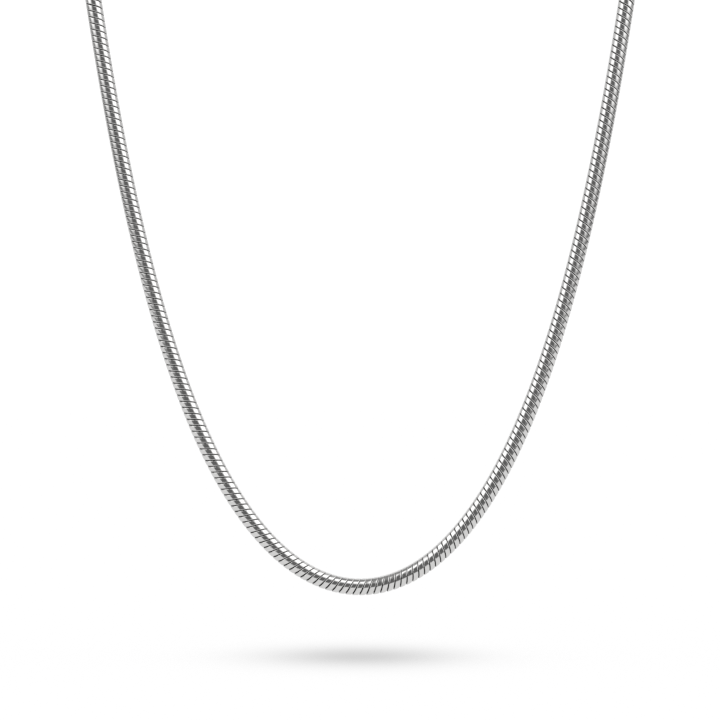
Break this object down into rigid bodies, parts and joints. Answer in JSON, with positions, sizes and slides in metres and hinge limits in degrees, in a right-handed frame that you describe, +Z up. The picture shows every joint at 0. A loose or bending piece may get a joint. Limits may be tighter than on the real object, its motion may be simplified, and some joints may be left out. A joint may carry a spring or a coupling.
{
  "type": "snake chain necklace",
  "caption": "Round snake chain necklace: one flexible loop of slanted overlapping plates, closed at the nape by a plain barrel clasp.",
  "frame": {"origin": "the point of the barrel clasp that lies on the back of the neck", "axes": "+Z up as worn, -Y forward from the nape through the neck to the front stretch, +X to the right as seen from the front"},
  "size_m": [0.1052, 0.0714, 0.1425],
  "materials": {
    "polished_silver": "mirror-polished silver with dark grooves between the plates",
    "clasp_silver": "polished silver with fine handling marks"
  },
  "bodies": {
    "root": {"snake_chain": "polished_silver", "barrel_clasp": "clasp_silver"}
  },
  "joints": []
}
